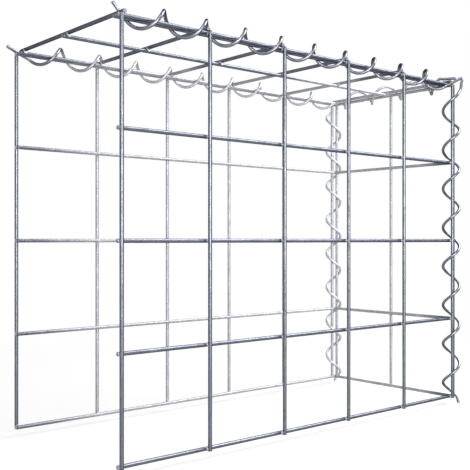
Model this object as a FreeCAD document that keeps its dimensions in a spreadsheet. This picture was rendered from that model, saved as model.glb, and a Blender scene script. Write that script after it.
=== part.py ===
"""Gabion basket: four welded mesh panels laced together with threaded wire spirals.

The basket is an add-on bay: open at the left end and underneath, where it meets its neighbours.
X runs along the basket from the open end, Y from the front panel to the back panel, Z up.
The origin is the centre of the cut foot of the front panel's first upright.
Uprights and lid cross wires are on the outside of the mesh, and rails are on the inside.
"""
import FreeCAD, Part

import math
import os

V = FreeCAD.Vector
ALONG_X = FreeCAD.Rotation(V(0, 1, 0), 90)
ALONG_Y = FreeCAD.Rotation(V(1, 0, 0), -90)
ALONG_Z = FreeCAD.Rotation()

# Driving dimensions in millimetres, and counts of mesh cells.
SIZES = {
    "mesh": 100,              # mesh pitch, centre to centre
    "long_cells": 5,
    "deep_cells": 2,
    "high_cells": 4,
    "wire": 4,                # mesh wire diameter
    "free_overhang": 2,       # wire left past the last weld, at free edges
    "corner_overhang": 0.5,   # rail left past the last weld, where the end panel butts on
    "butt_gap": 0.05,         # clearance between panels that butt
    "depth_room": 7,          # front and back panels stand this much wider than the end panel's mesh
    "lid_inset": 10.9,        # lid's edge rails in from the planes of the front and back uprights
    "first_cross": 4.8,       # lid's first cross wire in from the first uprights
    "lacing_wire": 3.5,       # spiral wire diameter
    "lacing_pitch": 50,
    "lacing_coil": 20.2,      # spiral's mean coil diameter
    "lacing_gap": 0.05,       # clearance where a spiral bears on the wire that it hangs from
    "turn_steps": 12,         # straight runs to one turn of a spiral
    "wire_flats": 8,          # flats round a spiral's wire
    "lid_lean": 20,           # degrees up from the lid's edge rail to its spiral's axis
    "near_bearing": 50,       # degrees round the corner upright to the spiral's axis, at the front
    "far_bearing": 21,        # and at the back
    "back_phase": 0.6,        # the back spiral's wire is on top this far from the open end
    "end_phase": 8,           # the end spiral's wire is on top this far from the front
    "end_out": 2,             # the end spiral's axis past the last cross wire
    "end_level": 2.8,         # and above the top rails
    "corner_phase": 1.5,      # the corner spirals' wire stands straight out this far above the feet
    "front_start": 14.6,      # where the spirals' round part starts and stops, in from the corners
    "front_stop": 20.8,
    "back_start": 17.3,
    "back_stop": 14.6,
    "end_start": 16.3,
    "end_stop": 12,
    "corner_start": 1,
    "near_stop": 15,
    "far_stop": 8,
    "head_start": 2.9,        # the front spiral's raised end: in from the first uprights
    "head_inset": 9.1,        # in from the lid's edge rail
    "head_rise": 15.8,        # above the top rails
    "stub_rise": 8.2,         # the other drawn-out ends above the top rails
    "front_past": 6.2,        # the front spiral's last end: past the last cross wire
    "front_out": 9.7,         # and out from the front panel
    "back_past": 9.5,         # the back spiral's first end: past the open end
    "back_out": 3,
    "end_past": 4,            # the end spiral's first end: past the last cross wire
    "end_ahead": 3.2,         # and ahead of the front panel
    "near_past": 14.8,        # the front corner spiral's upright end: past the last cross wire
    "near_out": 4.7,
    "near_bend": 1.8,         # its bend below the top rails
    "foot_drop": 3.8,         # how far the corner spirals' lower ends are drawn down
    "foot_turn": 3.5,         # from the round part's own place this far below the feet
}

SHORTEST_RUN = 0.3            # of a spiral's step, where its round part starts or stops

# Shared places, written as sheet formulas.
LENGTH = "(Sizes.long_cells * Sizes.mesh)"
DEPTH = "(Sizes.deep_cells * Sizes.mesh + Sizes.depth_room)"
TOP = "(Sizes.high_cells * Sizes.mesh + Sizes.free_overhang)"
UPRIGHT_LENGTH = "Sizes.high_cells * Sizes.mesh + 2 * Sizes.free_overhang"
RAIL_LENGTH = LENGTH + " + Sizes.free_overhang + Sizes.corner_overhang"
END_RAIL_X = "({} + Sizes.corner_overhang + Sizes.butt_gap + Sizes.wire / 2)".format(LENGTH)
END_FIRST_Y = "(Sizes.depth_room / 2)"
END_RAIL_START = "(Sizes.wire / 2 + Sizes.butt_gap)"


def add_sheet(doc):
    """Write the driving dimensions into the document's sheet."""
    sheet = doc.addObject("Spreadsheet::Sheet", "Sizes")
    for row, (alias, value) in enumerate(SIZES.items(), start=1):
        sheet.set("A{}".format(row), alias)
        sheet.set("B{}".format(row), str(value))
        sheet.setAlias("B{}".format(row), alias)
    doc.recompute()
    return sheet


def add_wire(doc, label, rotation, length, x="0", y="0", z="0"):
    """One straight mesh wire, cropped square, from a start point given as formulas."""
    wire = doc.addObject("Part::Cylinder", label)
    wire.Label = label
    wire.Placement = FreeCAD.Placement(V(), rotation)
    wire.setExpression("Radius", "Sizes.wire / 2")
    wire.setExpression("Height", length)
    for axis, formula in (("x", x), ("y", y), ("z", z)):
        wire.setExpression("Placement.Base.{}".format(axis), formula)
    return wire


def level(row):
    """Height of a rail: the lowest one is a free overhang above the feet."""
    return "Sizes.free_overhang + {} * Sizes.mesh".format(row)


def add_long_panel(doc, name, sheet, upright_y, rail_y):
    """A front or back panel: uprights along the basket, rails on their inner side."""
    parts = []
    for column in range(int(sheet.long_cells) + 1):
        label = "{}_upright_{}".format(name, column + 1)
        place = "{} * Sizes.mesh".format(column)
        parts.append(add_wire(doc, label, ALONG_Z, UPRIGHT_LENGTH, x=place, y=upright_y))
    for row in range(int(sheet.high_cells) + 1):
        label = "{}_rail_{}".format(name, row + 1)
        start = "-Sizes.free_overhang"
        parts.append(add_wire(doc, label, ALONG_X, RAIL_LENGTH, x=start, y=rail_y, z=level(row)))
    return parts


def add_end_panel(doc, sheet):
    """The end panel: it butts on the long panels' rail ends, with its rails between their uprights."""
    parts = []
    for column in range(int(sheet.deep_cells) + 1):
        label = "end_upright_{}".format(column + 1)
        across = "{} + {} * Sizes.mesh".format(END_FIRST_Y, column)
        out = END_RAIL_X + " + Sizes.wire"
        parts.append(add_wire(doc, label, ALONG_Z, UPRIGHT_LENGTH, x=out, y=across))
    rail_length = "{} - 2 * {}".format(DEPTH, END_RAIL_START)
    for row in range(int(sheet.high_cells) + 1):
        label = "end_rail_{}".format(row + 1)
        rail = add_wire(doc, label, ALONG_Y, rail_length, x=END_RAIL_X, y=END_RAIL_START, z=level(row))
        parts.append(rail)
    return parts


def add_lid(doc, sheet):
    """The lid: its cross wires rest on the long panels' top rails and carry its own rails below."""
    parts = []
    cross_start = "Sizes.wire - Sizes.free_overhang"
    cross_length = "{} - 2 * ({})".format(DEPTH, cross_start)
    cross_height = TOP + " + Sizes.wire"
    for column in range(int(sheet.long_cells) + 1):
        label = "lid_cross_{}".format(column + 1)
        place = "{} * Sizes.mesh".format(column) if column else "Sizes.first_cross"
        cross = add_wire(doc, label, ALONG_Y, cross_length, x=place, y=cross_start, z=cross_height)
        parts.append(cross)
    last = int(sheet.deep_cells)
    for row in range(last + 1):
        label = "lid_rail_{}".format(row + 1)
        across = "Sizes.lid_inset + {} / {} * ({} - 2 * Sizes.lid_inset)".format(row, last, DEPTH)
        start = "-Sizes.free_overhang"
        parts.append(add_wire(doc, label, ALONG_X, RAIL_LENGTH, x=start, y=across, z=TOP))
    return parts


class Coil:
    """A lacing spiral's centreline about a straight axis.

    Stations are counted in steps of a turn from the datum, a point of the axis where the wire
    stands at datum_angle. Angles run from side towards the direction that completes the axes.
    """

    def __init__(self, sheet, datum, axis, side, datum_angle, hand):
        self.datum = datum
        self.axis = axis
        self.side = side
        self.other = axis.cross(side)
        self.datum_angle = math.radians(datum_angle)
        self.turn = hand * 2 * math.pi / sheet.turn_steps
        self.advance = sheet.lacing_pitch / sheet.turn_steps
        self.radius = sheet.lacing_coil / 2

    def point(self, station):
        """The centreline's point at a station."""
        angle = self.datum_angle + self.turn * station
        out = self.side * math.cos(angle) + self.other * math.sin(angle)
        return self.datum + self.axis * (self.advance * station) + out * self.radius

    def place(self, distance):
        """The centreline's point this far along the axis from the datum."""
        return self.point(distance / self.advance)

    def route(self, start, stop, head=(), tail=()):
        """Centreline points between two distances from the datum, with the ends drawn out straight."""
        first = start / self.advance
        last = stop / self.advance
        whole = range(math.ceil(first + SHORTEST_RUN), math.floor(last - SHORTEST_RUN) + 1)
        return list(head) + [self.point(s) for s in [first, *whole, last]] + list(tail)


def add_spiral(doc, label, points):
    """Sweep the faceted wire section along a spiral's centreline, mitred at every step."""
    path = doc.addObject("Part::Polygon", label + "_route")
    path.Nodes = points
    section = doc.addObject("Part::RegularPolygon", label + "_section")
    section.setExpression("Polygon", "Sizes.wire_flats")
    section.setExpression("Circumradius", "Sizes.lacing_wire / 2 / cos(180 deg / Sizes.wire_flats)")
    section.Placement = FreeCAD.Placement(points[0], FreeCAD.Rotation(V(0, 0, 1), points[1] - points[0]))
    spiral = doc.addObject("Part::Sweep", label)
    spiral.Label = label
    spiral.Sections = [section]
    spiral.Spine = (path, [])
    spiral.Solid = True
    spiral.Frenet = False
    spiral.Transition = "Right corner"
    return spiral


def lid_lacing(sheet, length, depth, top, seat):
    """Routes of the spirals along the lid's front, back and end edges."""
    lean = math.radians(sheet.lid_lean)
    inward = seat * math.cos(lean)
    raised = top + seat * math.sin(lean)
    stub_top = top + sheet.stub_rise

    front = Coil(sheet, V(0, sheet.lid_inset - inward, raised), V(1, 0, 0), V(0, 1, 0), 90, -1)
    front_points = front.route(
        sheet.front_start,
        length - sheet.front_stop,
        head=[V(sheet.head_start, sheet.lid_inset + sheet.head_inset, top + sheet.head_rise)],
        tail=[V(length + sheet.front_past, -sheet.front_out, stub_top)],
    )

    back_axis = V(sheet.back_phase, depth - sheet.lid_inset + inward, raised)
    back = Coil(sheet, back_axis, V(1, 0, 0), V(0, 1, 0), 90, -1)
    back_points = back.route(
        sheet.back_start - sheet.back_phase,
        length - sheet.back_stop - sheet.back_phase,
        head=[V(-sheet.back_past, depth + sheet.back_out, stub_top)],
    )

    end_axis = V(length + sheet.end_out, sheet.end_phase, top + sheet.end_level)
    end = Coil(sheet, end_axis, V(0, 1, 0), V(0, 0, 1), 0, -1)
    end_points = end.route(
        sheet.end_start - sheet.end_phase,
        depth - sheet.end_stop - sheet.end_phase,
        head=[V(length + sheet.end_past, -sheet.end_ahead, stub_top)],
    )
    return {"spiral_lid_front": front_points, "spiral_lid_back": back_points, "spiral_lid_end": end_points}


def corner_coil(sheet, x, y, bearing, seat, hand):
    """An upright spiral that bears on the corner upright at x, y, with its axis at a bearing from it."""
    turn = math.radians(bearing)
    axis = V(x + seat * math.cos(turn), y + seat * math.sin(turn), sheet.corner_phase)
    return Coil(sheet, axis, V(0, 0, 1), V(1, 0, 0), 0, hand)


def corner_lacing(sheet, length, depth, top, seat):
    """Routes of the spirals down the two corners where the end panel meets the long panels."""
    coils = {
        "spiral_corner_front": corner_coil(sheet, length, 0, sheet.near_bearing, seat, 1),
        "spiral_corner_back": corner_coil(sheet, length, depth, sheet.far_bearing, seat, -1),
    }
    stops = {"spiral_corner_front": sheet.near_stop, "spiral_corner_back": sheet.far_stop}
    bend = V(length + sheet.near_past, -sheet.near_out, top - sheet.near_bend)
    stub = V(bend.x, bend.y, top + sheet.stub_rise)
    tails = {"spiral_corner_front": [bend, stub]}
    routes = {}
    for label, coil in coils.items():
        foot = coil.place(-sheet.foot_turn - sheet.corner_phase) - V(0, 0, sheet.foot_drop)
        routes[label] = coil.route(
            sheet.corner_start - sheet.corner_phase,
            top - stops[label] - sheet.corner_phase,
            head=[foot],
            tail=tails.get(label, []),
        )
    return routes


def add_lacing(doc, sheet):
    """The five spirals: front and back along the lid, across the end, and down both end corners."""
    length = sheet.long_cells * sheet.mesh
    depth = sheet.deep_cells * sheet.mesh + sheet.depth_room
    top = sheet.high_cells * sheet.mesh + sheet.free_overhang
    # A spiral bears on a wire at this distance from its axis, clear at the middle of every run.
    reach = sheet.lacing_coil / 2 * math.cos(math.pi / sheet.turn_steps)
    section = sheet.lacing_wire / 2 / math.cos(math.pi / sheet.wire_flats)
    seat = reach - section - sheet.wire / 2 - sheet.lacing_gap
    routes = lid_lacing(sheet, length, depth, top, seat)
    routes.update(corner_lacing(sheet, length, depth, top, seat))
    return [add_spiral(doc, label, points) for label, points in routes.items()]


def main():
    doc = FreeCAD.newDocument("GabionBasket")
    sheet = add_sheet(doc)
    parts = add_long_panel(doc, "front", sheet, "0", "Sizes.wire")
    parts += add_long_panel(doc, "back", sheet, DEPTH, DEPTH + " - Sizes.wire")
    parts += add_end_panel(doc, sheet)
    parts += add_lid(doc, sheet)
    parts += add_lacing(doc, sheet)
    doc.recompute()
    for item in doc.Objects:
        if "Invalid" in item.State or "Error" in item.State:
            raise RuntimeError("{} did not build: {}".format(item.Label, item.State))
    for part in parts:
        if part.Shape.isNull() or not part.Shape.isValid() or len(part.Shape.Solids) != 1:
            raise RuntimeError("{} is not one valid solid".format(part.Label))
    os.makedirs("parts", exist_ok=True)
    for part in parts:
        part.Shape.exportStep("parts/{}.step".format(part.Label))
    print("{} pieces written".format(len(parts)))


main()
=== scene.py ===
"""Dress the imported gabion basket: its mesh wires, the welds that hold them and the lacing spirals.

Lengths are in metres, in the basket's own frame: X runs along it from the open end, Y from the
front panel to the back panel, and Z up from the cut foot of the front panel's first upright.
"""
import itertools
import logging
import math
from dataclasses import dataclass, field
from enum import Enum
from typing import Any, Sequence

import bpy
import numpy as np
from mathutils import Euler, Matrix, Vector, noise


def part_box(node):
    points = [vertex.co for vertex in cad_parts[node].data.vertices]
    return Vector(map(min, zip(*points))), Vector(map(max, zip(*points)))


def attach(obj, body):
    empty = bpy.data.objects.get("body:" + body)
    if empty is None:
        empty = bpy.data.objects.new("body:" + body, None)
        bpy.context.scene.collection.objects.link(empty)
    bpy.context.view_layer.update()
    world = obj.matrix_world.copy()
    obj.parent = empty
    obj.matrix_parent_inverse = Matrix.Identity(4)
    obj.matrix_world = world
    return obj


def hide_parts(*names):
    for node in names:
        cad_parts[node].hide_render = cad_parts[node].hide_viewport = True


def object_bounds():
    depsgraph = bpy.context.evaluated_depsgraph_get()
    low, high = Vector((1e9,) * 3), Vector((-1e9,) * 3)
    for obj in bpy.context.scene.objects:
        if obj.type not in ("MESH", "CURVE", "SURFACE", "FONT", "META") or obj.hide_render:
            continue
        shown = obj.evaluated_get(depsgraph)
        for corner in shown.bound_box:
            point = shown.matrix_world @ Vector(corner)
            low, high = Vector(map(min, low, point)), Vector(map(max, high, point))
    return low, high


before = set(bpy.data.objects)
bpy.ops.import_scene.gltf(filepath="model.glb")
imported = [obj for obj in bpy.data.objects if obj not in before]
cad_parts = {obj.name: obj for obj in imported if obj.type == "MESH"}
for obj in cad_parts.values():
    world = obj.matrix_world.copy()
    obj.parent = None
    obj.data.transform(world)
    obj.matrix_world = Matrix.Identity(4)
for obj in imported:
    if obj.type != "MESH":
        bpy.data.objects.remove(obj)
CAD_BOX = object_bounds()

Material = bpy.types.Material
Socket = bpy.types.NodeSocket
Tree = bpy.types.NodeTree

LOG = logging.getLogger("gabion_basket")
MM = 0.001
WHITE = "#FFFFFF"
# The body that every piece rides on.
BODY = "root"
# The mesh attribute that the finishes go by: a point's place on its own wire, as if that were
# straight, or for a weld its place in the basket.
PLACE = "wire_place"
# The mix node's colour sockets, by number.
COLOUR_A, COLOUR_B, COLOUR_OUT = 6, 7, 2


class Run(Enum):
    """The way that a straight mesh wire runs."""

    ALONG = Vector((1, 0, 0))
    ACROSS = Vector((0, 1, 0))
    UP = Vector((0, 0, 1))


class Hand(Enum):
    """Which way a spiral turns as it goes along its axis."""

    RIGHT = 1
    LEFT = -1


class Slot(Enum):
    """The record's material slots."""

    MESH = "mesh_wire"
    LACING = "lacing_wire"


def linear(hex_colour: str) -> tuple[float, float, float, float]:
    """Turn an sRGB hex colour into Blender's linear one.

    Args:
        hex_colour: Six hex digits after a hash sign.

    Returns:
        Linear red, green and blue, and an alpha of 1.
    """
    parts = [int(hex_colour[i : i + 2], 16) / 255 for i in (1, 3, 5)]
    red, green, blue = (p / 12.92 if p <= 0.04045 else ((p + 0.055) / 1.055) ** 2.4 for p in parts)
    return red, green, blue, 1.0


def add_node(
    tree: Tree, kind: str, links: dict[str | int, Any] | None = None, **settings: Any
) -> bpy.types.Node:
    """Add one node, with its settings and what feeds it.

    Args:
        tree: The node tree that gets the node.
        kind: Blender's name for the node's type.
        links: For each input, by name or number, the output socket or the value that it gets.
        settings: The node's own properties.

    Returns:
        The new node.
    """
    node = tree.nodes.new(kind)
    for name, value in settings.items():
        setattr(node, name, value)
    for name, value in (links or {}).items():
        if isinstance(value, Socket):
            tree.links.new(value, node.inputs[name])
        else:
            node.inputs[name].default_value = value
    return node


def seen_white(tree: Tree) -> Socket:
    """Tell the rays that see the studio as white from those that light the basket.

    Args:
        tree: The node tree of the world or the floor.

    Returns:
        1 for a ray from the camera, off a glossy surface or through a clear one, and else 0.
    """
    path = add_node(tree, "ShaderNodeLightPath")
    seen = path.outputs["Is Camera Ray"]
    for name in ("Is Glossy Ray", "Is Transmission Ray"):
        either = add_node(tree, "ShaderNodeMath", {0: seen, 1: path.outputs[name]}, operation="MAXIMUM")
        seen = either.outputs["Value"]
    return seen


@dataclass(frozen=True)
class ZincTone:
    """The zinc in one state of its surface.

    Its colours are where it stands bright, where it is dull, and the painted shade low in a drawing line.
    roughness is the one where it stands bright and the one where it is dull.
    """

    bright: str
    dull: str
    # low: the painted shade in the low of a drawing line.
    low: str
    roughness: tuple[float, float]
    metallic: float


@dataclass(frozen=True)
class ZincCoat:
    """Hot-dip zinc on drawn steel wire: fine crystals under a dull bloom, with faint drawing lines.

    The wire is drawn through dies, which leaves lines along it, and then pulled through molten
    zinc and wiped. The eye gets a satin bluish grey, mottled along the wire, with a soft highlight.
    Towards the basket's far corner the zinc's colour is painted paler, as painted light, and it is made more
    matt and less metallic. The drawing lines are darkened with painted shade.
    """

    name: str
    near: ZincTone
    # The far wires' tone: its colour painted paler as painted light, and more matt.
    far: ZincTone
    crystal_mm: float = 2.2
    bloom_mm: float = 16.0
    # The bloom's share in the mottling, and the part of its range that goes from dull to bright.
    bloom_share: float = 0.75
    mottle: tuple[float, float] = (0.3, 0.7)
    line_mm: float = 0.7
    line_length_mm: float = 16.0
    # The heights where a drawing line's painted shade is darkest and where it ends, and how dark that painted
    # shade is.
    painted_line_shade_band: tuple[float, float] = (0.36, 0.52)
    painted_line_shade_depth: float = 0.45
    grain_mm: float = 0.5
    relief_mm: float = 0.04
    relief_strength: float = 0.5
    edge: str = "#5C5C5C"
    # The direction in which the painted paling (painted light on the far wires) grows, and the distances
    # where it starts, where it has grown to its first share, and where it covers all.
    painted_paling_way: tuple[float, float, float] = (0.38, 1.0, 0.0)
    painted_paling_mm: tuple[float, float, float] = (203.0, 243.0, 400.0)
    painted_paling_first: float = 0.8

    def build(self) -> Material:
        """Build the coat.

        Returns:
            The node material.
        """
        coat = bpy.data.materials.new(self.name)
        coat.use_nodes = True
        tree = coat.node_tree
        place = add_node(tree, "ShaderNodeAttribute", attribute_name=PLACE).outputs["Vector"]
        tone = self.tone(tree, place)
        lines = self.lines(tree, place)
        # Painted light: the far wires' colour is painted paler, by place in the basket.
        painted_paling_share = self.painted_paling(tree)
        colours = [self.colour(tree, side, tone, lines) for side in (self.near, self.far)]
        colour = add_node(
            tree,
            "ShaderNodeMix",
            {"Factor": painted_paling_share, COLOUR_A: colours[0], COLOUR_B: colours[1]},
            data_type="RGBA",
        )
        sheens = [self.sheen(tree, side, tone) for side in (self.near, self.far)]
        sheen = add_node(tree, "ShaderNodeMix", {"Factor": painted_paling_share, "A": sheens[0], "B": sheens[1]})
        metal = add_node(
            tree,
            "ShaderNodeMapRange",
            {"Value": painted_paling_share, "To Min": self.near.metallic, "To Max": self.far.metallic},
        )
        shader = tree.nodes["Principled BSDF"].inputs
        shader["Specular Tint"].default_value = linear(self.edge)
        tree.links.new(colour.outputs[COLOUR_OUT], shader["Base Color"])
        tree.links.new(metal.outputs["Result"], shader["Metallic"])
        tree.links.new(sheen.outputs["Result"], shader["Roughness"])
        tree.links.new(self.relief(tree, place, lines), shader["Normal"])
        return coat

    def tone(self, tree: Tree, place: Socket) -> Socket:
        """Mottle the zinc with its crystals and its bloom.

        Args:
            tree: The material's node tree.
            place: The point's place, from the mesh attribute.

        Returns:
            A share from 0, dull, to 1, bright.
        """
        # Crystals a millimetre or two across; each one takes the light a little differently.
        crystals = add_node(
            tree, "ShaderNodeTexVoronoi", {"Vector": place, "Scale": 1 / (self.crystal_mm * MM)}
        )
        crystal = add_node(tree, "ShaderNodeRGBToBW", {"Color": crystals.outputs["Color"]})
        # The bloom dulls the coat in patches.
        bloom = add_node(
            tree,
            "ShaderNodeTexNoise",
            {"Vector": place, "Scale": 1 / (self.bloom_mm * MM), "Detail": 4.0, "Roughness": 0.6},
        )
        both = add_node(
            tree,
            "ShaderNodeMix",
            {"Factor": self.bloom_share, "A": crystal.outputs["Val"], "B": bloom.outputs["Fac"]},
        )
        dull, bright = self.mottle
        spread = add_node(
            tree,
            "ShaderNodeMapRange",
            {"Value": both.outputs["Result"], "From Min": dull, "From Max": bright},
        )
        return spread.outputs["Result"]

    def lines(self, tree: Tree, place: Socket) -> Socket:
        """Draw the lines that the dies leave: noise drawn out along the wire.

        Args:
            tree: The material's node tree.
            place: The point's place, from the mesh attribute.

        Returns:
            The surface's height, low in a line.
        """
        # Real lines are finer than the render can show, so these are drawn coarser.
        stretch = (1 / (self.line_mm * MM),) * 2 + (1 / (self.line_length_mm * MM),)
        drawn = add_node(tree, "ShaderNodeVectorMath", {0: place, 1: stretch}, operation="MULTIPLY")
        heights = add_node(
            tree, "ShaderNodeTexNoise", {"Vector": drawn.outputs["Vector"], "Scale": 1.0, "Detail": 3.0}
        )
        return heights.outputs["Fac"]

    def painted_paling(self, tree: Tree) -> Socket:
        """Spread the painted paling, painted light on the far wires: none at the front left, most of it past
        a line, all of it far off.

        Args:
            tree: The material's node tree.

        Returns:
            The painted paling's share.
        """
        place = add_node(tree, "ShaderNodeTexCoord").outputs["Object"]
        reach = add_node(
            tree, "ShaderNodeVectorMath", {0: place, 1: self.painted_paling_way}, operation="DOT_PRODUCT"
        )
        start, line, end = (distance * MM for distance in self.painted_paling_mm)
        first = add_node(
            tree,
            "ShaderNodeMapRange",
            {"Value": reach.outputs["Value"], "From Min": start, "From Max": line},
            interpolation_type="SMOOTHSTEP",
        )
        rest = add_node(
            tree,
            "ShaderNodeMapRange",
            {
                "Value": reach.outputs["Value"],
                "From Min": line,
                "From Max": end,
                "To Min": self.painted_paling_first,
            },
        )
        share = add_node(
            tree,
            "ShaderNodeMath",
            {0: first.outputs["Result"], 1: rest.outputs["Result"]},
            operation="MULTIPLY",
        )
        return share.outputs["Value"]

    def colour(self, tree: Tree, side: ZincTone, tone: Socket, lines: Socket) -> Socket:
        """Colour the zinc of one state, with painted shade low in the drawing lines.

        Args:
            tree: The material's node tree.
            side: The state's colours.
            tone: The share from dull to bright.
            lines: The surface's height in the drawing lines.

        Returns:
            The colour.
        """
        zinc = add_node(
            tree,
            "ShaderNodeMix",
            {"Factor": tone, COLOUR_A: linear(side.dull), COLOUR_B: linear(side.bright)},
            data_type="RGBA",
        )
        # Painted shade: the colour darkens towards side.low where a drawing line sinks.
        bottom, brim = self.painted_line_shade_band
        low = add_node(
            tree,
            "ShaderNodeMapRange",
            {
                "Value": lines,
                "From Min": bottom,
                "From Max": brim,
                "To Min": self.painted_line_shade_depth,
                "To Max": 0.0,
            },
        )
        painted_line_shade_colour = add_node(
            tree,
            "ShaderNodeMix",
            {
                "Factor": low.outputs["Result"],
                COLOUR_A: zinc.outputs[COLOUR_OUT],
                COLOUR_B: linear(side.low),
            },
            data_type="RGBA",
        )
        return painted_line_shade_colour.outputs[COLOUR_OUT]

    def sheen(self, tree: Tree, side: ZincTone, tone: Socket) -> Socket:
        """Roughen the zinc of one state where it is dull.

        Args:
            tree: The material's node tree.
            side: The state's roughness.
            tone: The share from dull to bright.

        Returns:
            The roughness.
        """
        bright, dull = side.roughness
        sheen = add_node(tree, "ShaderNodeMapRange", {"Value": tone, "To Min": dull, "To Max": bright})
        return sheen.outputs["Result"]

    def relief(self, tree: Tree, place: Socket, lines: Socket) -> Socket:
        """Raise the zinc's grain and sink its drawing lines.

        Args:
            tree: The material's node tree.
            place: The point's place, from the mesh attribute.
            lines: The surface's height in the drawing lines.

        Returns:
            The bumped normal.
        """
        grain = add_node(
            tree, "ShaderNodeTexNoise", {"Vector": place, "Scale": 1 / (self.grain_mm * MM), "Detail": 2.0}
        )
        heights = add_node(tree, "ShaderNodeMath", {0: lines, 1: grain.outputs["Fac"]}, operation="ADD")
        bump = add_node(
            tree,
            "ShaderNodeBump",
            {
                "Strength": self.relief_strength,
                "Distance": self.relief_mm * MM,
                "Height": heights.outputs["Value"],
            },
        )
        return bump.outputs["Normal"]


@dataclass(frozen=True)
class CroppedSteel:
    """Bare steel where a shear has cropped the coated wire: half torn, half burnished."""

    name: str = "cropped_steel_end"
    burnished: str = "#8E8E90"
    torn: str = "#5A5958"
    tear_mm: float = 0.8
    relief_mm: float = 0.1
    relief_strength: float = 0.6
    roughness: float = 0.5

    def build(self) -> Material:
        """Build the cut face.

        Returns:
            The node material.
        """
        steel = bpy.data.materials.new(self.name)
        steel.use_nodes = True
        tree = steel.node_tree
        place = add_node(tree, "ShaderNodeAttribute", attribute_name=PLACE).outputs["Vector"]
        tears = add_node(
            tree, "ShaderNodeTexNoise", {"Vector": place, "Scale": 1 / (self.tear_mm * MM), "Detail": 4.0}
        ).outputs["Fac"]
        face = add_node(
            tree,
            "ShaderNodeMix",
            {"Factor": tears, COLOUR_A: linear(self.torn), COLOUR_B: linear(self.burnished)},
            data_type="RGBA",
        )
        bump = add_node(
            tree,
            "ShaderNodeBump",
            {"Strength": self.relief_strength, "Distance": self.relief_mm * MM, "Height": tears},
        )
        shader = tree.nodes["Principled BSDF"].inputs
        shader["Metallic"].default_value = 1.0
        shader["Roughness"].default_value = self.roughness
        tree.links.new(face.outputs[COLOUR_OUT], shader["Base Color"])
        tree.links.new(bump.outputs["Normal"], shader["Normal"])
        return steel


@dataclass
class Finishes:
    """The basket's materials."""

    wire: Material = field(init=False)
    weld: Material = field(init=False)
    lacing: Material = field(init=False)
    cut: Material = field(init=False)

    def __post_init__(self) -> None:
        """Build them all."""
        # Mesh wire: drawn, dipped, straightened and welded into panels. Its coat has gone grey.
        self.wire = ZincCoat(
            "hot_dip_galvanised_wire",
            # Near tone, then the far tone painted paler as painted light; each tone's third colour is the
            # painted shade in the drawing lines.
            ZincTone("#727680", "#5C6069", "#41444A", (0.28, 0.36), 1.0),
            ZincTone("#AFB1B6", "#929499", "#717378", (0.42, 0.54), 0.5),
        ).build()
        # Weld flash: the pressed joint has melted the zinc, which has set again paler and rougher.
        self.weld = ZincCoat(
            "galvanised_weld_flash",
            # Near tone, then the far tone painted paler as painted light; each tone's third colour is the
            # painted shade in the drawing lines.
            ZincTone("#BFC2C7", "#999CA2", "#6E7176", (0.34, 0.48), 1.0),
            ZincTone("#C6C8CC", "#AAACB0", "#8A8C90", (0.5, 0.62), 0.5),
        ).build()
        # Lacing wire: drawn and dipped the same way and then coiled, lighter and a little smoother.
        self.lacing = ZincCoat(
            "galvanised_lacing_wire",
            # Near tone, then the far tone painted paler as painted light; each tone's third colour is the
            # painted shade in the drawing lines.
            ZincTone("#82858F", "#6D7079", "#505258", (0.26, 0.34), 1.0),
            ZincTone("#BCBEC2", "#A0A2A6", "#7C7E82", (0.42, 0.54), 0.5),
        ).build()
        self.cut = CroppedSteel().build()


def ring_faces(rings: int, sides: int) -> list[tuple[int, ...]]:
    """Close rings of points into a skin.

    Args:
        rings: How many rings follow each other.
        sides: How many points each has.

    Returns:
        The faces between the rings, and last the two that close the ends.
    """
    faces: list[tuple[int, ...]] = []
    for row, column in itertools.product(range(rings - 1), range(sides)):
        a = row * sides + column
        b = row * sides + (column + 1) % sides
        faces.append((a, b, b + sides, a + sides))
    top = (rings - 1) * sides
    return [*faces, tuple(reversed(range(sides))), tuple(range(top, top + sides))]


def add_mesh(
    name: str,
    points: np.ndarray,
    faces: Sequence[tuple[int, ...]],
    places: np.ndarray,
    materials: Sequence[Material],
    cut_faces: int = 0,
) -> bpy.types.Object:
    """Make a smooth mesh object.

    Args:
        name: The object's name.
        points: Its points, in metres.
        faces: Its faces, the cut ones last.
        places: Each point's place, as the finishes read it.
        materials: The finish of the smooth faces and, where there are any, of the cut ones.
        cut_faces: How many of the faces are flat cuts.

    Returns:
        The object, linked to the scene.
    """
    mesh = bpy.data.meshes.new(name)
    mesh.from_pydata(points.tolist(), [], faces)
    for material in materials:
        mesh.materials.append(material)
    smooth_faces = len(faces) - cut_faces
    for index, polygon in enumerate(mesh.polygons):
        polygon.use_smooth = index < smooth_faces
        polygon.material_index = int(index >= smooth_faces)
    mesh.attributes.new(PLACE, "FLOAT_VECTOR", "POINT").data.foreach_set("vector", places.ravel())
    mesh.update()
    piece = bpy.data.objects.new(name, mesh)
    bpy.context.scene.collection.objects.link(piece)
    return piece


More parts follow.
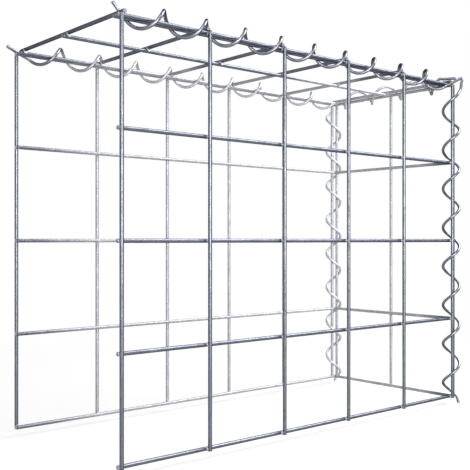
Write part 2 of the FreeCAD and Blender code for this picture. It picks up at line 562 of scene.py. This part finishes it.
@dataclass
class Tube:
    """The skin of a round wire: rings of points laid along its centreline, with cropped ends.

    The zinc's ripple only takes from the radius, so the skin never stands out past it. Seeds set
    wires apart, so that each shows another stretch of the finish.
    """

    name: str
    line: Sequence[Vector]
    radius: float
    sides: int = 20
    seed: float = 0.0
    ripple: float = 0.03 * MM
    ripple_length: float = 5.0 * MM
    ripple_round: float = 0.4
    rim: float = 0.25 * MM
    crop_tilt: float = 0.12
    # A direction that no wire of the basket starts out along.
    odd_way: tuple[float, float, float] = (0.31, 0.52, 0.79)

    def frames(self) -> tuple[np.ndarray, np.ndarray, np.ndarray, np.ndarray]:
        """Carry a pair of cross directions along the line without twist.

        Returns:
            The line's points, its two cross directions at each, and the distance along it.
        """
        points = np.array([tuple(p) for p in self.line])
        steps = np.diff(points, axis=0)
        lengths = np.linalg.norm(steps, axis=1)
        along = np.vstack([steps[:1], steps[:-1] + steps[1:], steps[-1:]])
        along /= np.linalg.norm(along, axis=1)[:, None]
        side = np.cross(along[0], self.odd_way)
        sides = []
        for direction in along:
            side = side - direction * side.dot(direction)
            side = side / np.linalg.norm(side)
            sides.append(side)
        sides = np.array(sides)
        return points, sides, np.cross(along, sides), np.concatenate([[0.0], np.cumsum(lengths)])

    def local_radius(self, distance: float, angle: float) -> float:
        """Find the radius where the wiped zinc stands a little thicker or thinner.

        Args:
            distance: How far along the line.
            angle: How far round it.

        Returns:
            The radius there.
        """
        turn, rise = math.cos(angle) * self.ripple_round, math.sin(angle) * self.ripple_round
        spot = Vector((turn, rise, (distance + self.seed) / self.ripple_length))
        return self.radius + self.ripple * (noise.noise(spot) - 1) / 2

    def skin(self) -> tuple[np.ndarray, np.ndarray]:
        """Lay the rings of points round the line.

        Returns:
            For each ring its points, and their places on the straightened wire.
        """
        points, side, other, run = self.frames()
        angles = np.arange(self.sides) * 2 * math.pi / self.sides
        turn, rise = np.cos(angles), np.sin(angles)
        radii = np.array([[self.local_radius(s, a) for a in angles] for s in run])
        radii[[0, -1]] -= self.rim / 2
        # A shear leaves the end a little aslant.
        lift = np.zeros_like(radii)
        lift[0] = self.radius * self.crop_tilt * (1 + turn)
        lift[-1] = -self.radius * self.crop_tilt * (1 + rise)
        along = np.cross(side, other)
        ring = side[:, None, :] * turn[None, :, None] + other[:, None, :] * rise[None, :, None]
        skin = points[:, None, :] + ring * radii[:, :, None] + along[:, None, :] * lift[:, :, None]
        places = np.empty_like(skin)
        places[:, :, 0] = turn * self.radius
        places[:, :, 1] = rise * self.radius
        places[:, :, 2] = run[:, None] + self.seed
        return skin, places

    def build(self, coat: Material, cut: Material) -> bpy.types.Object:
        """Make the mesh object.

        Args:
            coat: The material along the wire.
            cut: The material of its cropped ends.

        Returns:
            The object, linked to the scene.
        """
        skin, places = self.skin()
        faces = ring_faces(len(skin), self.sides)
        return add_mesh(self.name, skin.reshape(-1, 3), faces, places, (coat, cut), cut_faces=2)


@dataclass
class Crossing:
    """A resistance weld where two wires cross: a ring of squeezed-out metal round the contact.

    Rays go out from the contact in rows, from the first wire's side to the second one's, and stop
    where they leave the metal that fills the corner between the two wires.
    """

    contact: Vector
    across: Vector
    first: Vector
    second: Vector
    radius: float
    seed: float
    fillet: float = 1.5 * MM
    reach: float = 3.4 * MM
    columns: int = 32
    rows: int = 11
    # How steep the last rows of rays are, to either side.
    spread: float = math.radians(52.0)
    # How much the lumps change the fillet at most, and how fast they vary with a ray's direction.
    lump_share: float = 0.35
    lump_rate: float = 1.7
    # Where a ray that stays in a wire stops, as a share of the reach.
    tuck: float = 0.8
    halvings: int = 12

    def distance(self, point: Vector, blend: float) -> float:
        """Distance from a point to the two wires' skin, with the corner between them filled in.

        Args:
            point: Place of the point from the contact.
            blend: Size of the fill.

        Returns:
            The distance, below zero inside the metal.
        """
        gaps = []
        for centre, direction in ((-self.across, self.first), (self.across, self.second)):
            offset = point - centre * self.radius
            gaps.append((offset - direction * offset.dot(direction)).length - self.radius)
        overlap = max(blend - abs(gaps[0] - gaps[1]), 0.0) / blend
        return min(gaps) - overlap * overlap * blend / 4

    def skin_at(self, ray: Vector) -> Vector:
        """Follow a ray from the contact to where it leaves the metal.

        Args:
            ray: The ray's direction.

        Returns:
            The place from the contact. A ray that stays in a wire stops short, inside it.
        """
        lump = noise.noise(ray * self.lump_rate + Vector((self.seed, 0, 0)))
        blend = self.fillet * (1 + self.lump_share * lump)
        low, high = 0.0, self.reach
        if self.distance(ray * high, blend) < 0:
            return ray * high * self.tuck
        for _ in range(self.halvings):
            middle = (low + high) / 2
            if self.distance(ray * middle, blend) < 0:
                low = middle
            else:
                high = middle
        return ray * high

    def skin(self) -> tuple[list[Vector], list[tuple[int, ...]]]:
        """Close the squeezed-out ring.

        Returns:
            The points in the basket's frame, and faces that number them from 0.
        """
        points = []
        for row, column in itertools.product(range(self.rows), range(self.columns)):
            height = self.spread * (2 * row / (self.rows - 1) - 1)
            turn = 2 * math.pi * column / self.columns
            flat = self.first * math.cos(turn) + self.second * math.sin(turn)
            ray = flat * math.cos(height) + self.across * math.sin(height)
            points.append(self.contact + self.skin_at(ray))
        faces = ring_faces(self.rows, self.columns)
        if self.first.cross(self.second).dot(self.across) < 0:
            faces = [tuple(reversed(face)) for face in faces]
        return points, faces


def centre_line(node: str, run: Run) -> tuple[Vector, Vector]:
    """Find the ends of a straight CAD wire's centreline.

    Args:
        node: The CAD node's name.
        run: The way that it runs.

    Returns:
        Its start and its stop.
    """
    low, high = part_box(node)
    middle = (low + high) / 2
    half = run.value * (high - low).dot(run.value) / 2
    return middle - half, middle + half


def wire_radius(node: str) -> float:
    """Find the radius of a straight CAD wire."""
    low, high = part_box(node)
    return min(high - low) / 2


def dress(piece: bpy.types.Object, slot: Slot, *nodes: str) -> None:
    """Let a piece ride with the basket and stand for its CAD nodes.

    Args:
        piece: The piece.
        slot: Not used.
        nodes: The CAD nodes that it replaces, if any.
    """
    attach(piece, BODY)
    if nodes:
        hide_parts(*nodes)
    LOG.info("%s: %d faces", piece.name, len(piece.data.polygons))


@dataclass
class MeshPanel:
    """One welded panel: wires on the outside, rails on the inside, and a weld where they cross."""

    name: str
    outer: tuple[str, Run]
    rails: tuple[str, Run]
    finishes: Finishes
    ring_pitch: float = 2.5 * MM
    # What a wire's start adds to its seed, by its distance from the origin, its X and its Z.
    seed_steps: tuple[float, float, float] = (7.3, 3.1, 1.7)
    weld_seed_step: float = 91.0

    def nodes(self, kind: str) -> list[str]:
        """List the panel's CAD wires of one kind.

        Args:
            kind: The word for them in the nodes' names.

        Returns:
            Their names, in order.
        """
        stem = f"{self.name}_{kind}_"
        found = [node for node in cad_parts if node.startswith(stem)]
        return sorted(found, key=lambda node: int(node[len(stem) :]))

    def build(self) -> None:
        """Build every wire of the panel and its welds."""
        for kind, run in (self.outer, self.rails):
            for node in self.nodes(kind):
                self.build_wire(node, run)
        self.build_welds()

    def build_wire(self, node: str, run: Run) -> None:
        """Build one straight wire in place of its CAD solid.

        Args:
            node: The CAD node's name.
            run: The way that it runs.
        """
        start, stop = centre_line(node, run)
        count = max(2, round((stop - start).length / self.ring_pitch))
        rim = run.value * Tube.rim
        inner = [(start + rim).lerp(stop - rim, k / count) for k in range(count + 1)]
        by_distance, by_x, by_z = self.seed_steps
        seed = start.length * by_distance + start.x * by_x + start.z * by_z
        tube = Tube(f"{node}_wire", [start, *inner, stop], wire_radius(node), seed=seed)
        dress(tube.build(self.finishes.wire, self.finishes.cut), Slot.MESH, node)

    def crossings(self) -> list[Crossing]:
        """Find the panel's crossings.

        Returns:
            The weld of each outer wire with each rail, in order.
        """
        crossings = []
        (outer_kind, outer_run), (rail_kind, rail_run) = self.outer, self.rails
        first, second = outer_run.value, rail_run.value
        for outer, rail in itertools.product(self.nodes(outer_kind), self.nodes(rail_kind)):
            start, _ = centre_line(outer, outer_run)
            apart = centre_line(rail, rail_run)[0] - start
            across = apart - first * apart.dot(first) - second * apart.dot(second)
            contact = start + first * apart.dot(first) + across / 2
            seed = contact.length * self.weld_seed_step
            crossings.append(
                Crossing(contact, across.normalized(), first, second, wire_radius(outer), seed)
            )
        return crossings

    def build_welds(self) -> None:
        """Build the squeezed-out metal of all the panel's crossings as one piece."""
        points: list[Vector] = []
        faces: list[tuple[int, ...]] = []
        for crossing in self.crossings():
            ring_points, ring = crossing.skin()
            faces += [tuple(index + len(points) for index in face) for face in ring]
            points += ring_points
        spots = np.array([tuple(point) for point in points])
        dress(add_mesh(f"{self.name}_welds", spots, faces, spots, (self.finishes.weld,)), Slot.MESH)


@dataclass
class Layout:
    """The places of the mesh that the spirals go by, read from the frame."""

    length: float = field(init=False)
    depth: float = field(init=False)
    top: float = field(init=False)
    inset: float = field(init=False)

    def __post_init__(self) -> None:
        """Read the places off the corner wires."""
        self.length = centre_line("front_upright_6", Run.UP)[0].x
        self.depth = centre_line("back_upright_1", Run.UP)[0].y
        self.top = centre_line("front_rail_5", Run.ALONG)[0].z
        self.inset = centre_line("lid_rail_1", Run.ALONG)[0].y


@dataclass
class Spiral:
    """A lacing spiral: a smooth helix with its ends drawn out.

    Distances run along the axis from the datum, where the wire stands at datum_angle. Angles run
    from side towards the direction that completes the axes.
    """

    node: str
    datum: Vector
    axis: Vector
    side: Vector
    hand: Hand
    start: float
    stop: float
    head: Sequence[Vector] = ()
    tail: Sequence[Vector] = ()
    datum_angle: float = 0.0
    wire: float = 3.5 * MM
    coil: float = 20.2 * MM
    pitch: float = 50.0 * MM
    turn_rings: int = 48
    sides: int = 18
    ripple: float = 0.02 * MM
    seed_step: float = 11.0
    # A drawn-out end starts to bend this far before a place that it passes. The bend ends
    # bend_after times as far past it, or at bend_limit of the way on if that comes first.
    bend: float = 4.5 * MM
    bend_after: float = 1.6
    bend_limit: float = 0.6
    bend_rings: int = 10
    ring_pitch: float = 1.5 * MM

    def point(self, distance: float) -> Vector:
        """Find a point of the centreline.

        Args:
            distance: How far along the axis.

        Returns:
            The point.
        """
        angle = self.datum_angle + self.hand.value * 2 * math.pi * distance / self.pitch
        out = self.side * math.cos(angle) + self.axis.cross(self.side) * math.sin(angle)
        return self.datum + self.axis * distance + out * self.coil / 2

    def heading(self, distance: float) -> Vector:
        """The centreline's direction at a distance along the axis."""
        nudge = self.pitch / 1000
        return (self.point(distance + nudge) - self.point(distance - nudge)).normalized()

    def ease(self, start: Vector, away: Vector, stop: Vector, onward: Vector) -> list[Vector]:
        """Bend the wire between two places.

        Args:
            start: Where the bend starts.
            away: Direction there.
            stop: Where it ends.
            onward: Direction there.

        Returns:
            The points between, without the two ends.
        """
        chord = (stop - start).length
        points = []
        for k in range(1, self.bend_rings):
            t = k / self.bend_rings
            points.append(
                start * (2 * t**3 - 3 * t**2 + 1)
                + away * chord * (t**3 - 2 * t**2 + t)
                + stop * (3 * t**2 - 2 * t**3)
                + onward * chord * (t**3 - t**2)
            )
        return points

    def drawn(self, ends: Sequence[Vector], joint: Vector, heading: Vector) -> list[Vector]:
        """Draw out an end, from the round part outward.

        Args:
            ends: The places that it passes, the tip last.
            joint: Where the round part stops.
            heading: The wire's direction there, outward.

        Returns:
            Points from just past the joint to the tip.
        """
        points: list[Vector] = []
        here, way = joint, heading
        for target in ends:
            run = (target - here).normalized()
            spread = min(self.bend * self.bend_after, (target - here).length * self.bend_limit)
            after = here + run * spread
            points += [*self.ease(here, way, after, run), after]
            here = target if target is ends[-1] else target - run * self.bend
            count = max(2, round((here - after).length / self.ring_pitch))
            points += [after.lerp(here, k / count) for k in range(1, count + 1)]
            way = run
        return points

    def centreline(self) -> list[Vector]:
        """Lay the whole centreline.

        Returns:
            Its points, from the head's tip to the tail's.
        """
        rings = round((self.stop - self.start) / self.pitch * self.turn_rings)
        step = (self.stop - self.start) / rings
        coil = [self.point(self.start + step * k) for k in range(rings + 1)]
        head = self.drawn(self.head, coil[0], -self.heading(self.start))
        tail = self.drawn(self.tail, coil[-1], self.heading(self.stop))
        return [*reversed(head), *coil, *tail]

    def build(self, coat: Material, cut: Material) -> None:
        """Build the spiral in place of its CAD solid.

        Args:
            coat: The material along the wire.
            cut: The material of its cropped ends.
        """
        tube = Tube(
            f"{self.node}_wire",
            self.centreline(),
            self.wire / 2,
            self.sides,
            seed=self.datum.length * self.seed_step,
            ripple=self.ripple,
        )
        dress(tube.build(coat, cut), Slot.LACING, self.node)


@dataclass
class Lacing:
    """The five spirals, each hung on the wire that it bears on.

    A start and a stop are where a spiral's round part begins and ends, in from the corners. A
    phase is how far along its axis the wire first stands on top, or straight out at a corner.
    """

    finishes: Finishes
    layout: Layout
    # A spiral's axis from the axis of the wire that it bears on.
    seat: float = 5.812 * MM
    # How steeply the lid's spirals lie above its edge rails, and the directions from the corner
    # uprights to their spirals, from X towards Y.
    lid_lean: float = math.radians(20)
    near_bearing: float = math.radians(50)
    far_bearing: float = math.radians(21)
    # How far above the top rails the drawn-out ends stop, all but the front spiral's raised one.
    stub_rise: float = 8.2 * MM
    # The front spiral: its raised end is in from the open end and from the lid's edge rail, and
    # its last end is past the last cross wire and out from the front panel.
    front_start: float = 14.6 * MM
    front_stop: float = 20.8 * MM
    head_start: float = 2.9 * MM
    head_inset: float = 9.1 * MM
    head_rise: float = 15.8 * MM
    front_past: float = 6.2 * MM
    front_out: float = 9.7 * MM
    # The back spiral: its first end is past the open end and out from the back panel.
    back_phase: float = 0.6 * MM
    back_start: float = 17.3 * MM
    back_stop: float = 14.6 * MM
    back_past: float = 9.5 * MM
    back_out: float = 3.0 * MM
    # The end spiral: its axis is past the last cross wire and above the top rails, and its first
    # end is further past it and ahead of the front panel.
    end_phase: float = 8.0 * MM
    end_start: float = 16.3 * MM
    end_stop: float = 12.0 * MM
    end_out: float = 2.0 * MM
    end_level: float = 2.8 * MM
    end_past: float = 4.0 * MM
    end_ahead: float = 3.2 * MM
    # The corner spirals: a lower end is drawn to foot_drop under the place that its coil would
    # reach foot_turn below the feet.
    corner_phase: float = 1.5 * MM
    corner_start: float = 1.0 * MM
    near_stop: float = 15.0 * MM
    far_stop: float = 8.0 * MM
    foot_turn: float = 3.5 * MM
    foot_drop: float = 3.8 * MM
    # The front one's upper end: past the last cross wire, out from the front panel, and bent
    # upright below the top rails in a wide bend.
    near_past: float = 14.8 * MM
    near_out: float = 4.7 * MM
    near_bend: float = 1.8 * MM
    near_bend_length: float = 6.5 * MM

    def lid_datum(self, rail: float, outward: int, phase: float = 0.0) -> Vector:
        """Find the datum of a spiral that hangs on one of the lid's edge rails.

        Args:
            rail: The rail's place from front to back.
            outward: 1 where outward is to the back, and -1 where it is to the front.
            phase: The spiral's phase.

        Returns:
            The datum.
        """
        out, up = self.seat * math.cos(self.lid_lean), self.seat * math.sin(self.lid_lean)
        return Vector((phase, rail + outward * out, self.layout.top + up))

    def lid_front(self) -> Spiral:
        """Lay out the spiral along the lid's front edge.

        Returns:
            The spiral.
        """
        place = self.layout
        return Spiral(
            "spiral_lid_front",
            self.lid_datum(place.inset, -1),
            Run.ALONG.value,
            Run.ACROSS.value,
            Hand.LEFT,
            self.front_start,
            place.length - self.front_stop,
            head=[Vector((self.head_start, place.inset + self.head_inset, place.top + self.head_rise))],
            tail=[Vector((place.length + self.front_past, -self.front_out, place.top + self.stub_rise))],
            datum_angle=math.pi / 2,
        )

    def lid_back(self) -> Spiral:
        """Lay out the spiral along the lid's back edge.

        Returns:
            The spiral.
        """
        place = self.layout
        return Spiral(
            "spiral_lid_back",
            self.lid_datum(place.depth - place.inset, 1, self.back_phase),
            Run.ALONG.value,
            Run.ACROSS.value,
            Hand.LEFT,
            self.back_start - self.back_phase,
            place.length - self.back_stop - self.back_phase,
            head=[Vector((-self.back_past, place.depth + self.back_out, place.top + self.stub_rise))],
            datum_angle=math.pi / 2,
        )

    def lid_end(self) -> Spiral:
        """Lay out the spiral across the lid's end edge.

        Returns:
            The spiral.
        """
        place = self.layout
        return Spiral(
            "spiral_lid_end",
            Vector((place.length + self.end_out, self.end_phase, place.top + self.end_level)),
            Run.ACROSS.value,
            Run.UP.value,
            Hand.LEFT,
            self.end_start - self.end_phase,
            place.depth - self.end_stop - self.end_phase,
            head=[Vector((place.length + self.end_past, -self.end_ahead, place.top + self.stub_rise))],
        )

    def corner(self, node: str, depth: float, bearing: float, hand: Hand, stop: float) -> Spiral:
        """Lay out one of the two spirals down the end corners.

        Args:
            node: The CAD node that it stands for.
            depth: How far back its corner upright stands.
            bearing: Direction from the upright to the spiral's axis.
            hand: Which way it turns.
            stop: How far below the top rails its round part stops.

        Returns:
            The spiral, with its lower end drawn down past the feet.
        """
        out, back = self.seat * math.cos(bearing), self.seat * math.sin(bearing)
        spiral = Spiral(
            node,
            Vector((self.layout.length + out, depth + back, self.corner_phase)),
            Run.UP.value,
            Run.ALONG.value,
            hand,
            self.corner_start - self.corner_phase,
            self.layout.top - stop - self.corner_phase,
        )
        foot = spiral.point(-self.foot_turn - self.corner_phase)
        spiral.head = [foot - Run.UP.value * self.foot_drop]
        return spiral

    def corner_front(self) -> Spiral:
        """Lay out the spiral down the front corner, with its upper end bent upright.

        Returns:
            The spiral.
        """
        place = self.layout
        spiral = self.corner("spiral_corner_front", 0, self.near_bearing, Hand.RIGHT, self.near_stop)
        bend = Vector((place.length + self.near_past, -self.near_out, place.top - self.near_bend))
        spiral.tail = [bend, bend + Run.UP.value * (self.near_bend + self.stub_rise)]
        spiral.bend = self.near_bend_length
        return spiral

    def corner_back(self) -> Spiral:
        """Lay out the spiral down the back corner.

        Returns:
            The spiral.
        """
        return self.corner(
            "spiral_corner_back", self.layout.depth, self.far_bearing, Hand.LEFT, self.far_stop
        )

    def build(self) -> None:
        """Build all five."""
        layouts = (self.lid_front, self.lid_back, self.lid_end, self.corner_front, self.corner_back)
        for lay_out in layouts:
            lay_out().build(self.finishes.lacing, self.finishes.cut)


@dataclass(frozen=True)
class SoftBox:
    """One soft lamp: where it hangs, what it faces, its width and height, and its watts.

    The watts are those of each square metre of its face.
    """

    name: str
    place: tuple[float, float, float]
    target: tuple[float, float, float]
    size: tuple[float, float]
    watts: float

    def build(self) -> None:
        """Hang the lamp."""
        data = bpy.data.lights.new(self.name, "AREA")
        data.shape = "RECTANGLE"
        data.size, data.size_y = self.size
        data.energy = self.watts * self.size[0] * self.size[1]
        lamp = bpy.data.objects.new(self.name, data)
        lamp.location = self.place
        way = Vector(self.target) - Vector(self.place)
        lamp.rotation_euler = way.to_track_quat("-Z", "Y").to_euler()
        bpy.context.scene.collection.objects.link(lamp)


@dataclass(frozen=True)
class FloorPaint:
    """Matt white studio paint, rolled on: it keeps the basket's shadow and shows white further out."""

    name: str = "matt_white_floor"
    colour: str = "#F2F2F2"
    roughness: float = 0.9
    # How much of the floor's middle shows as plain white, and the distances from there, in
    # metres, where that share starts to grow and where it reaches the whole.
    blank: float = 0.7
    blank_from: float = 0.3
    blank_full: float = 1.0

    def build(self) -> Material:
        """Build the paint.

        Returns:
            The node material.
        """
        paint = bpy.data.materials.new(self.name)
        paint.use_nodes = True
        tree = paint.node_tree
        shader = tree.nodes["Principled BSDF"]
        shader.inputs["Base Color"].default_value = linear(self.colour)
        shader.inputs["Roughness"].default_value = self.roughness
        shader.inputs["Specular IOR Level"].default_value = 0.0
        place = add_node(tree, "ShaderNodeTexCoord").outputs["Object"]
        away = add_node(tree, "ShaderNodeVectorMath", {0: place}, operation="LENGTH")
        blank = add_node(
            tree,
            "ShaderNodeMapRange",
            {
                "Value": away.outputs["Value"],
                "From Min": self.blank_from,
                "From Max": self.blank_full,
                "To Min": self.blank,
            },
            interpolation_type="SMOOTHSTEP",
        )
        share = add_node(
            tree, "ShaderNodeMath", {0: blank.outputs["Result"], 1: seen_white(tree)}, operation="MULTIPLY"
        )
        white = add_node(tree, "ShaderNodeEmission", {"Color": linear(WHITE), "Strength": 1.0})
        blend = add_node(
            tree,
            "ShaderNodeMixShader",
            {0: share.outputs["Value"], 1: shader.outputs["BSDF"], 2: white.outputs["Emission"]},
        )
        tree.links.new(blend.outputs["Shader"], tree.nodes["Material Output"].inputs["Surface"])
        return paint


@dataclass
class Studio:
    """A white sweep with soft lamps, and a level camera at the photograph's place."""

    floor_level: float
    floor_size: float = 16.0
    camera_place: tuple[float, float, float] = (-0.3866, -0.59995, 0.202642)
    # Degrees from Y towards X.
    camera_bearing: float = 40.484
    # Millimetres, as Blender takes them.
    lens: float = 61.633
    sensor: float = 36.0
    shift: tuple[float, float] = (0.0100, 0.0108)
    nearest: float = 0.01
    lamps: tuple[SoftBox, ...] = (
        SoftBox("front_box", (-0.37, -1.58, 0.41), (0.25, 0.1, 0.2), (1.4, 0.66), 36.8),
        SoftBox("top_box", (1.45, -0.45, 1.35), (1.0, -0.05, 0.0), (1.35, 1.4), 30.4),
        SoftBox("left_box", (-0.45, -0.75, 1.45), (0.1, 0.0, 0.3), (1.1, 0.9), 9.6),
    )
    world_light: float = 0.12

    def build_camera(self) -> None:
        """Put the camera where the photograph was taken from."""
        data = bpy.data.cameras.new("camera")
        data.lens = self.lens
        data.sensor_width = self.sensor
        data.shift_x, data.shift_y = self.shift
        data.clip_start = self.nearest
        camera = bpy.data.objects.new("camera", data)
        camera.location = self.camera_place
        camera.rotation_euler = Euler((math.radians(90), 0, -math.radians(self.camera_bearing)))
        bpy.context.scene.collection.objects.link(camera)
        bpy.context.scene.camera = camera

    def build_world(self) -> None:
        """Make a white room: white to the eye and in reflections, and dimmer as a source of light."""
        world = bpy.data.worlds.new("white_room")
        world.use_nodes = True
        tree = world.node_tree
        strength = add_node(
            tree, "ShaderNodeMapRange", {"Value": seen_white(tree), "To Min": self.world_light, "To Max": 1.0}
        )
        background = tree.nodes["Background"].inputs
        background["Color"].default_value = linear(WHITE)
        tree.links.new(strength.outputs["Result"], background["Strength"])
        bpy.context.scene.world = world

    def build_floor(self) -> None:
        """Lay the floor, with its middle under the basket's."""
        half = self.floor_size / 2
        corners = [(-half, -half, 0), (half, -half, 0), (half, half, 0), (-half, half, 0)]
        mesh = bpy.data.meshes.new("studio_floor")
        mesh.from_pydata(corners, [], [(0, 1, 2, 3)])
        mesh.materials.append(FloorPaint().build())
        floor = bpy.data.objects.new("studio_floor", mesh)
        middle = (CAD_BOX[0] + CAD_BOX[1]) / 2
        floor.location = (middle.x, middle.y, self.floor_level)
        bpy.context.scene.collection.objects.link(floor)

    def build(self) -> None:
        """Set the whole stage."""
        self.build_camera()
        self.build_world()
        self.build_floor()
        for lamp in self.lamps:
            lamp.build()


def main() -> None:
    """Build the basket and its stage, and report each piece."""
    logging.basicConfig(level=logging.INFO, format="%(name)s %(message)s")
    bpy.context.scene.view_settings.view_transform = "Standard"
    finishes = Finishes()
    panels = (
        MeshPanel("front", ("upright", Run.UP), ("rail", Run.ALONG), finishes),
        MeshPanel("back", ("upright", Run.UP), ("rail", Run.ALONG), finishes),
        MeshPanel("end", ("upright", Run.UP), ("rail", Run.ACROSS), finishes),
        MeshPanel("lid", ("cross", Run.ACROSS), ("rail", Run.ALONG), finishes),
    )
    for panel in panels:
        panel.build()
    Lacing(finishes, Layout()).build()
    Studio(floor_level=CAD_BOX[0].z).build()


if __name__ == "__main__":
    main()
